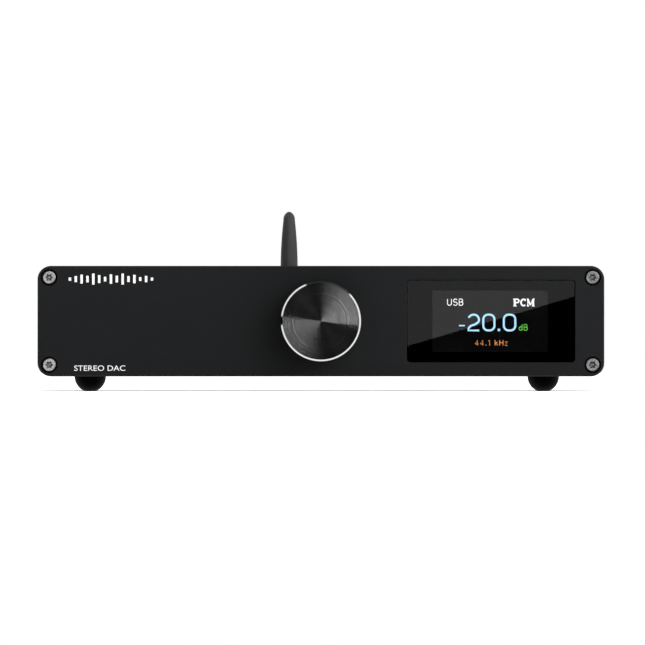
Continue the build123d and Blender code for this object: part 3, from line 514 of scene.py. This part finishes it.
def strokes(name, lines, look, place_at, thickness, body="chassis", facing=FRONT):
    """Flat lines with round ends. Each line is (width, [(x, z), ...]) in mm."""
    meshes = []
    for width, points in lines:
        curve = bpy.data.curves.new(name, "CURVE")
        curve.dimensions = "3D"
        curve.bevel_depth = width / 2
        curve.bevel_resolution = 3
        curve.use_fill_caps = True
        closed = points[0] == points[-1]
        points = points[:-1] if closed else points
        spline = curve.splines.new("POLY")
        spline.points.add(len(points) - 1)
        for point, (x, z) in zip(spline.points, points):
            point.co = (x, z, 0.0, 1.0)
        spline.use_cyclic_u = closed
        source = bpy.data.objects.new(name, curve)
        scene.collection.objects.link(source)
        bpy.context.view_layer.update()
        graph = bpy.context.evaluated_depsgraph_get()
        mesh = bpy.data.meshes.new_from_object(source.evaluated_get(graph))
        bpy.data.objects.remove(source)
        mesh.transform(Matrix.Diagonal((1.0, 1.0, thickness / width, 1.0)))
        meshes.append(mesh)
    vertices = []
    faces = []
    for mesh in meshes:
        base = len(vertices)
        vertices += [v.co.copy() for v in mesh.vertices]
        faces += [[base + i for i in p.vertices] for p in mesh.polygons]
    matrix = Matrix.Translation(place_at) @ facing @ Matrix.Scale(MM, 4)
    return mesh_piece(name, [matrix @ v for v in vertices], faces, look, body)


CAPITAL_SHARE = 0.7  # a capital's height as a share of the font size
LETTER_DEPTH = 0.01


def text(name, words, size, place_at, look, align="LEFT", facing=FRONT, width=None):
    """Flat lettering. size is the height of a capital and width the word's, in mm."""
    curve = bpy.data.curves.new(name, "FONT")
    curve.body = words
    curve.size = size / CAPITAL_SHARE
    curve.extrude = LETTER_DEPTH
    curve.resolution_u = 4
    source = bpy.data.objects.new(name, curve)
    scene.collection.objects.link(source)
    bpy.context.view_layer.update()
    widen = width / source.dimensions.x if width else 1.0
    xs = [corner[0] for corner in source.bound_box]
    ys = [corner[1] for corner in source.bound_box]
    start = {"LEFT": xs[0], "CENTER": (min(xs) + max(xs)) / 2, "RIGHT": max(xs)}[align]
    low = min(ys)
    fit = Matrix.Diagonal((widen, 1.0, 1.0, 1.0)) @ Matrix.Translation((-start, -low, 0.0))
    matrix = Matrix.Translation(place_at) @ facing @ Matrix.Scale(MM, 4) @ fit
    return baked(name, source, matrix, look, "chassis")


def arc(cx, cz, rx, rz, start, stop, steps=10):
    turn = [math.radians(start + (stop - start) * i / steps) for i in range(steps + 1)]
    return [(cx + rx * math.cos(a), cz + rz * math.sin(a)) for a in turn]


GLYPHS = {
    "U": (0.62, [[(0, 1), (0, 0.3)] + arc(0.31, 0.3, 0.31, 0.3, 180, 360) + [(0.62, 1)]]),
    "S": (0.6, [arc(0.3, 0.75, 0.28, 0.25, 25, 262, 12) + arc(0.3, 0.25, 0.3, 0.25, 82, -158, 12)]),
    "B": (
        0.6,
        [
            [(0, 0), (0, 1), (0.32, 1)] + arc(0.32, 0.765, 0.22, 0.235, 90, -90) + [(0, 0.53)],
            [(0.3, 0.53)] + arc(0.34, 0.265, 0.26, 0.265, 90, -90) + [(0, 0)],
        ],
    ),
    "d": (0.54, [arc(0.27, 0.31, 0.27, 0.31, 0, 360, 16), [(0.54, 0), (0.54, 1)]]),
    "4": (0.62, [[(0.44, 0), (0.44, 1), (0, 0.28), (0.6, 0.28)]]),
    "1": (0.34, [[(0.05, 0.8), (0.3, 1), (0.3, 0)]]),
    ".": (0.1, [[(0.05, -0.04), (0.05, 0.14)]]),
    "k": (0.5, [[(0, 0), (0, 1)], [(0.46, 0.66), (0, 0.24)], [(0.17, 0.4), (0.5, 0)]]),
    "H": (0.62, [[(0, 0), (0, 1)], [(0.62, 0), (0.62, 1)], [(0, 0.52), (0.62, 0.52)]]),
    "z": (0.46, [[(0, 0.66), (0.45, 0.66), (0, 0), (0.47, 0)]]),
    " ": (0.25, []),
}


def lettering(word, height, left, base, width, stroke, gap=0.26):
    """Thin single-stroke letters fitted into a width, as lines for strokes()."""
    total = sum(GLYPHS[c][0] for c in word) + gap * (len(word) - 1)
    scale = (width - stroke) / total
    lines = []
    start = left + stroke / 2
    for c in word:
        advance, paths = GLYPHS[c]
        for path in paths:
            points = [(start + x * scale, base + stroke / 2 + z * (height - stroke)) for x, z in path]
            lines.append((stroke, points))
        start += (advance + gap) * scale
    return lines


# Marks printed on the front: a row of level bars and a plain word.
print_look = finish_look(
    "white_print", ((0.8, 0.8, 0.8), (0.9, 0.9, 0.9)), (0.35, 0.5), grain=5000, depth=0.003
)

BAR_HEIGHTS = (1.2, 2.2, 3.3, 2.4, 4.1, 2.9, 1.7, 3.5, 2.5, 4.1, 2.1, 3.1, 1.4, 2.3, 1.1)
BAR_WIDTH = 0.9
MARK_LEFT = -93.0
MARK_WIDTH = 30.4
MARK_RISE = 15.6
MARK_THICKNESS = 0.04
WORD_LEFT = -91.4
WORD_BASE = -18.4
WORD_HEIGHT = 2.0
WORD_WIDTH = 18.9
PRINT_LIFT = 0.01
FRONT_PRINT_Y = FACE_Y - PRINT_LIFT * MM
bars = []
for i, height in enumerate(BAR_HEIGHTS):
    x = MARK_LEFT + MARK_WIDTH * i / (len(BAR_HEIGHTS) - 1)
    bars.append((BAR_WIDTH, [(x, -height / 2), (x, height / 2)]))
mark_place = Vector((MID_X, FRONT_PRINT_Y, MID_Z + MARK_RISE * MM))
strokes("wave_mark", bars, print_look, mark_place, MARK_THICKNESS)
word_place = Vector((MID_X + WORD_LEFT * MM, FRONT_PRINT_Y, MID_Z + WORD_BASE * MM))
text("front_word", "STEREO DAC", WORD_HEIGHT, word_place, print_look, width=WORD_WIDTH)

# Plain words and lines printed on the rear panel.
REAR_PRINT_Y = REAR_Y + PRINT_LIFT * MM
REAR_WORDS = (  # name, words, capital height, centre x, base z, width
    ("left_word", "L", 1.9, 23.0, 35.6, None),
    ("right_word", "R", 1.9, 8.0, 35.6, None),
    ("line_word", "LINE OUT", 1.7, 15.5, 17.6, 13.0),
    ("balanced_left_word", "L", 1.5, 79.5, 44.3, None),
    ("balanced_right_word", "R", 1.5, 48.5, 44.3, None),
    ("antenna_word", "ANTENNA", 1.7, -12.0, 25.6, 12.0),
    ("usb_word", "USB", 1.7, -38.0, 29.6, None),
    ("coax_word", "COAXIAL", 1.7, -54.5, 29.9, 10.5),
    ("optical_word", "OPTICAL", 1.7, -68.0, 29.6, 10.0),
    ("digital_word", "DIGITAL IN", 1.7, -52.5, 36.0, 15.0),
)
for name, words, size, x, z, width in REAR_WORDS:
    spot = Vector((MID_X + x * MM, REAR_PRINT_Y, z * MM))
    text(name, words, size, spot, print_look, align="CENTER", width=width, facing=BACK)

RULE = 0.28
RULE_THICKNESS = 0.03
rules = [
    (RULE, [(31.5, 34.2), (31.5, 36.8), (43.5, 36.8)]),
    (RULE, [(61.5, 36.8), (73.5, 36.8), (73.5, 34.2)]),
    (RULE, [(84.6, 43.6), (84.6, 44.9)]),
    (RULE, arc(87.4, 44.25, 0.62, 0.62, 0, 360, 20)),
]
rules_place = Vector((MID_X, REAR_PRINT_Y, 0.0))
strokes("rear_rules", rules, print_look, rules_place, RULE_THICKNESS, facing=BACK)

# Display: ink mask, lit area and readings.
LIT_X = (lcd_low.x + lcd_high.x) / 2
LIT_W = 42.72 * MM
LIT_H = 22.7 * MM
LIT_AREA = (LIT_X - LIT_W / 2, LIT_X + LIT_W / 2, MID_Z - LIT_H / 2, MID_Z + LIT_H / 2)
LCD_Y = lcd_low.y
READ_Y = LCD_Y - 0.07 * MM
READ_THICKNESS = 0.05
ink_look = finish_look(
    "ink_mask", ((0.0002, 0.0002, 0.0002), (0.0006, 0.0006, 0.0006)), (0.5, 0.6), grain=3000, depth=0.001,
    Specular_IOR_Level=0.0,
)


def frame_ring(name, y, outer, inner, thickness, look):
    """A flat frame between two rectangles given as (x0, x1, z0, z1)."""
    vertices = []
    for depth in (0.0, thickness):
        for x0, x1, z0, z1 in (outer, inner):
            vertices += [(x0, y + depth, z0), (x1, y + depth, z0), (x1, y + depth, z1), (x0, y + depth, z1)]
    faces = []
    for i in range(4):
        j = (i + 1) % 4
        faces.append((i, j, 4 + j, 4 + i))
        faces.append((8 + j, 8 + i, 12 + i, 12 + j))
        faces.append((j, i, 8 + i, 8 + j))
        faces.append((4 + i, 4 + j, 12 + j, 12 + i))
    return mesh_piece(name, vertices, faces, look)


MASK_INSET = 0.6 * MM
MASK_THICKNESS = 0.04 * MM
MASK_Y = window_high.y - 0.05 * MM  # just inside the back of the glass
mask_outer = (
    window_low.x + MASK_INSET,
    window_high.x - MASK_INSET,
    window_low.z + MASK_INSET,
    window_high.z - MASK_INSET,
)
frame_ring("window_mask", MASK_Y, mask_outer, LIT_AREA, MASK_THICKNESS, ink_look)


def lit_area_look():
    """The display's own black: a faint glow and a low, smooth reflection."""
    look, tree, shader = new_look("lit_area")
    cloud = noise(tree, place(tree), 30.0, 2.0)
    parts = add(tree, "SeparateXYZ", {0: place(tree)})
    across = math_node(tree, "MULTIPLY", dot_wave(tree, parts.outputs[0]), 0.04)
    level = remap(tree, math_node(tree, "ADD", cloud, across), 0.3, 0.7)
    glow = mix_colour(tree, level, (0.0036, 0.0037, 0.0038), (0.0048, 0.0050, 0.0051))
    link(tree, glow, shader, "Emission Color")
    link(tree, mix_colour(tree, level, 0.0010, 0.0016), shader, "Base Color")
    link(tree, remap(tree, cloud, 0.3, 0.7, 0.02, 0.035), shader, "Roughness")
    shader.inputs["Emission Strength"].default_value = 1.0
    shader.inputs["IOR"].default_value = 1.22
    return look


glow_white = glow_look("glow_white", (1.0, 1.0, 1.0), 1.6)
glow_blue = glow_look("glow_blue", (0.42, 0.78, 1.0), 1.5)
glow_green = glow_look("glow_green", (0.18, 0.75, 0.1), 1.25)
glow_orange = glow_look("glow_orange", (0.9, 0.34, 0.11), 1.35)

x0, x1, z0, z1 = LIT_AREA
vertices = []
for y in (LCD_Y - 0.04 * MM, LCD_Y - 0.005 * MM):
    vertices += [(x0, y, z0), (x1, y, z0), (x1, y, z1), (x0, y, z1)]
faces = [(0, 1, 2, 3), (7, 6, 5, 4), (0, 4, 5, 1), (1, 5, 6, 2), (2, 6, 7, 3), (3, 7, 4, 0)]
mesh_piece("lit_area", vertices, faces, lit_area_look())


READING_SHIFT = Vector((-0.32, 0.15)) * MM


def reading(name, lines, look):
    spot = Vector((MID_X + READING_SHIFT.x, READ_Y, MID_Z + READING_SHIFT.y))
    return strokes(name, lines, look, spot, READ_THICKNESS)


def zero(left, right, low, high, bend):
    """A nought with round corners, as a closed line."""
    path = arc(right - bend, high - bend, bend, bend, 0, 90)
    path += arc(left + bend, high - bend, bend, bend, 90, 180)
    path += arc(left + bend, low + bend, bend, bend, 180, 270)
    path += arc(right - bend, low + bend, bend, bend, 270, 360)
    return path + path[:1]


BIG = 0.74
LOW = -3.58
HIGH = 2.29
two = arc(56.93, 0.42, 1.96, 1.87, 158, -28, 18)
two += [(57.6, -1.25)]
two += arc(57.2, -3.3, 2.2, 1.75, 100, 172, 8)
two += [(54.97, LOW), (58.95, LOW)]
reading(
    "reading_level",
    [
        (0.5, [(51.5, -1.78), (53.6, -1.78)]),
        (BIG, two),
        (BIG, zero(60.49, 64.63, LOW, HIGH, 1.8)),
        (0.88, [(66.28, -3.85), (66.28, -2.95)]),
        (BIG, zero(68.1, 72.36, LOW, HIGH, 1.8)),
    ],
    glow_blue,
)
reading("reading_input", lettering("USB", 2.6, 47.1, 5.6, 6.0, 0.28, 0.3), glow_white)
reading("reading_unit", lettering("dB", 2.4, 73.65, -3.65, 3.3, 0.23, 0.36), glow_green)
reading("reading_rate", lettering("44.1 kHz", 2.2, 57.35, -9.25, 12.2, 0.23, 0.36), glow_orange)
HEAVY = 0.72
THIN = 0.34
FORMAT_LOW = 5.5
FORMAT_HIGH = 8.05
reading(
    "reading_format",
    [
        (HEAVY, [(72.15, FORMAT_LOW), (72.15, FORMAT_HIGH)]),
        (THIN, [(71.6, FORMAT_LOW), (72.85, FORMAT_LOW)]),
        (THIN, [(71.6, FORMAT_HIGH), (72.4, FORMAT_HIGH)]),
        (
            0.5,
            [(72.35, FORMAT_HIGH - 0.05)] + arc(72.95, 7.36, 0.75, 0.64, 90, -90, 8) + [(72.35, 6.72)],
        ),
        (0.6, arc(75.4, 6.77, 0.92, 1.18, 48, 312, 16)),
        (THIN, [(76.05, 7.3), (76.05, FORMAT_HIGH)]),
        (THIN, [(77.0, FORMAT_LOW), (77.0, FORMAT_HIGH)]),
        (HEAVY * 0.9, [(79.0, FORMAT_LOW), (79.0, FORMAT_HIGH)]),
        (0.55, [(77.05, FORMAT_HIGH - 0.1), (77.95, FORMAT_LOW + 0.3)]),
        (THIN, [(77.95, FORMAT_LOW + 0.3), (78.85, FORMAT_HIGH - 0.1)]),
        (THIN, [(76.65, FORMAT_LOW), (77.4, FORMAT_LOW)]),
        (THIN, [(78.5, FORMAT_LOW), (79.5, FORMAT_LOW)]),
        (THIN, [(76.6, FORMAT_HIGH), (77.2, FORMAT_HIGH)]),
        (THIN, [(78.9, FORMAT_HIGH), (79.5, FORMAT_HIGH)]),
    ],
    glow_white,
)

# ---------------------------------------------------------------- floor


def floor_piece():
    """Pale paper with a painted glow that brightens away from the object, so that it meets the white
    background.
    """
    half = 4.0
    mesh = bpy.data.meshes.new("studio_floor")
    corners = [(-half, -half, 0), (half, -half, 0), (half, half, 0), (-half, half, 0)]
    mesh.from_pydata(corners, [], [(0, 1, 2, 3)])
    look, tree, shader = new_look("studio_floor")
    paper = noise(tree, place(tree), 60.0, 4.0)
    link(tree, mix_colour(tree, paper, (0.8, 0.8, 0.8), (0.83, 0.83, 0.83)), shader, "Base Color")
    shader.inputs["Roughness"].default_value = 0.8
    reach = add(tree, "VectorMath", {0: place(tree)}, operation="LENGTH").outputs["Value"]
    # Painted light: the emission is weaker near the object, where contact shadows show, and full white
    # further out.
    glow = remap(tree, reach, 0.16, 0.5, 0.42, 1.0, smooth=True)
    link(tree, mix_colour(tree, glow, 0.0, 1.0), shader, "Emission Color")
    shader.inputs["Emission Strength"].default_value = 1.0
    mesh.materials.append(look)
    piece = bpy.data.objects.new("studio_floor", mesh)
    scene.collection.objects.link(piece)
    piece.visible_glossy = False


floor_piece()

# ---------------------------------------------------------------- light

SECTOR_LIGHT = 1.85
BACK_LEVELS = [(0.0, 0.75), (0.47, 0.6), (0.53, 0.22), (0.66, 0.85), (0.85, 0.6), (1.0, 0.4)]


def fade_in(tree, angle, start, stop):
    """Nought below one angle and one above the other, both in degrees."""
    return remap(tree, angle, math.radians(start), math.radians(stop), smooth=True)


def studio_world():
    """White to the camera. The light itself is a soft studio: dark straight ahead, panels at the sides."""
    world = bpy.data.worlds.new("studio")
    scene.world = world
    world.use_nodes = True
    tree = world.node_tree
    tree.nodes.clear()
    output = add(tree, "OutputWorld")
    parts = add(tree, "SeparateXYZ", {0: add(tree, "TexCoord").outputs["Generated"]})
    x, y, z = parts.outputs
    turn = remap(tree, math_node(tree, "ARCTAN2", z, x), -math.pi, math.pi)
    polar = math_node(tree, "ARCCOSINE", math_node(tree, "MULTIPLY", y, -1.0))

    def at(degrees):
        return (degrees + 180.0) / 360.0

    sector = [
        (-180, 0.02), (-7, 0.02), (-5.5, 1.0), (0, 0.98), (15, 0.86), (30, 0.73), (45, 0.66), (51, 0.64),
        (54, 0.54), (62, 0.42), (75, 0.25), (90, 0.045), (104, 0.02), (128, 0.06), (150, 0.03), (180, 0.02),
    ]
    ring = [
        (-180, 0.0), (-175, 0.0), (-173, 0.9), (41, 0.9), (45, 0.02), (111, 0.02), (114, 0.85),
        (171, 0.85), (174, 0.0), (180, 0.0),
    ]
    front = math_node(tree, "MULTIPLY", ramp(tree, turn, [(at(a), v) for a, v in sector]), SECTOR_LIGHT)
    rim = ramp(tree, turn, [(at(a), v) for a, v in ring])
    height = remap(tree, z, -1.0, 1.0)
    back = ramp(tree, height, BACK_LEVELS, True)
    opening = fade_in(tree, polar, 14, 24)
    lit_front = math_node(tree, "MULTIPLY", front, opening)
    to_rim = fade_in(tree, polar, 76, 82)
    to_back = fade_in(tree, polar, 98, 115)
    first = mix_colour(tree, to_rim, lit_front, rim)
    light = mix_colour(tree, to_back, first, back)
    camera = add(tree, "LightPath").outputs["Is Camera Ray"]
    colour = mix_colour(tree, camera, light, (1.0, 1.0, 1.0))
    shine = add(tree, "Background", {"Color": colour, "Strength": 1.0})
    tree.links.new(shine.outputs[0], output.inputs[0])


studio_world()


def soft_light(name, place_at, target, size, power, glossy=False, receivers=None):
    """A rectangular lamp, in metres and watts. With receivers it lights only those objects."""
    lamp = bpy.data.lights.new(name, "AREA")
    lamp.shape = "RECTANGLE"
    lamp.size, lamp.size_y = size
    lamp.energy = power
    made = bpy.data.objects.new(name, lamp)
    scene.collection.objects.link(made)
    made.location = place_at
    made.rotation_mode = "QUATERNION"
    made.rotation_quaternion = (Vector(target) - Vector(place_at)).to_track_quat("-Z", "Y")
    made.visible_glossy = glossy
    made.visible_camera = False
    if receivers:
        group = bpy.data.collections.new(name + "_receivers")
        for receiver in receivers:
            group.objects.link(receiver)
        made.light_linking.receiver_collection = group
    return made


CENTRE = Vector((MID_X, 0.0, MID_Z))
STUDIO_LAMPS = (  # name, place, target, size, power
    ("overhead", (0.0, 0.1, 1.5), CENTRE, (1.8, 1.8), 26.0),
    ("key", (1.1, -1.3, 0.9), CENTRE, (0.9, 0.9), 9.0),
    ("fill", (-1.3, -1.2, 0.6), CENTRE, (0.9, 0.9), 4.0),
    ("near_right", (0.34, -0.42, 0.2), (0.09, FACE_Y, 0.03), (0.16, 0.16), 0.34),
)
for lamp_row in STUDIO_LAMPS:
    soft_light(*lamp_row)

# Lamps linked to a few parts only: the corner screws, the aerial and the case's front edges.
SCREW_NODES = [nodes["front_panel_screws"]]
SCREW_TARGET = (0.0, FACE_Y, 0.026)
SCREW_LAMPS = (
    ("screw_shine", (-0.25, FACE_Y - 1.2, -0.15), SCREW_TARGET, (0.7, 0.5), 2.0),
    ("screw_side_shine", (1.2, FACE_Y - 0.4, 0.5), SCREW_TARGET, (0.9, 0.9), 2.5),
    ("screw_glint", (0.0, FACE_Y - 1.1, 0.62), SCREW_TARGET, (0.3, 0.25), 0.9),
)
for lamp_row in SCREW_LAMPS:
    soft_light(*lamp_row, glossy=True, receivers=SCREW_NODES)

AERIAL_NODES = [nodes["antenna_blade"], nodes["antenna_yoke"]]
AERIAL_LAMPS = (
    ("aerial_shine", (-0.75, -0.6, 0.25), (-0.012, 0.1, 0.06), (0.12, 0.6), 0.26),
    ("aerial_shine", (0.75, -0.6, 0.25), (-0.012, 0.1, 0.06), (0.12, 0.6), 0.08),
    ("aerial_front", (-0.03, -1.0, 0.33), (-0.012, 0.1, 0.05), (0.3, 0.75), 2.6),
)
for lamp_row in AERIAL_LAMPS:
    soft_light(*lamp_row, glossy=True, receivers=AERIAL_NODES)
soft_light(
    "edge_shine", (0.45, FACE_Y - 0.05, 1.0), (0.2, FACE_Y, 0.04), (1.1, 0.4), 1.6,
    glossy=True, receivers=[nodes["front_panel"], nodes["case_sleeve"]],
)

# A lit card in front of the window. The glass reflects its lower edge as a slanting line.
EDGE_ANGLE = math.radians(16.566)
CARD_Y = FACE_Y - 0.5
CARD_W = 0.4
CARD_H = 0.2
CARD_RADIANCE = 0.56
EDGE_DROP = 0.85 * MM
edge_point = Vector(((window_low.x + window_high.x) / 2, 0.0, MID_Z - EDGE_DROP))
normal_up = Vector((-math.sin(EDGE_ANGLE), 0.0, math.cos(EDGE_ANGLE)))
card_centre = edge_point + normal_up * (CARD_H / 2)
card = soft_light(
    "card",
    (card_centre.x, CARD_Y, card_centre.z),
    (card_centre.x, CARD_Y + 1.0, card_centre.z),
    (CARD_W, CARD_H),
    1.0,
    glossy=True,
    receivers=[nodes["display_window"], bpy.data.objects["window_mask"], bpy.data.objects["lit_area"]],
)
card.rotation_quaternion = Matrix(
    (
        (math.cos(EDGE_ANGLE), -math.sin(EDGE_ANGLE), 0.0),
        (0.0, 0.0, -1.0),
        (math.sin(EDGE_ANGLE), math.cos(EDGE_ANGLE), 0.0),
    )
).to_quaternion()
card.data.energy = CARD_RADIANCE * math.pi * CARD_W * CARD_H

# ---------------------------------------------------------------- camera

VIEW_WIDTH = 238.977 * MM
CAMERA_BACK = 11.0
CAMERA_SIDE = 0.59 * MM
CAMERA_HEIGHT = 25.51 * MM
camera_data = bpy.data.cameras.new("camera")
camera_data.sensor_width = 36.0
camera_data.lens = camera_data.sensor_width * CAMERA_BACK / VIEW_WIDTH
camera_data.clip_start = 1.0
camera_data.clip_end = 100.0
camera = bpy.data.objects.new("camera", camera_data)
scene.collection.objects.link(camera)
camera.location = (MID_X + CAMERA_SIDE, FACE_Y - CAMERA_BACK, CAMERA_HEIGHT)
camera.rotation_euler = (math.pi / 2, 0.0, 0.0)
scene.camera = camera
scene.view_settings.view_transform = "Standard"
scene.view_settings.look = "None"
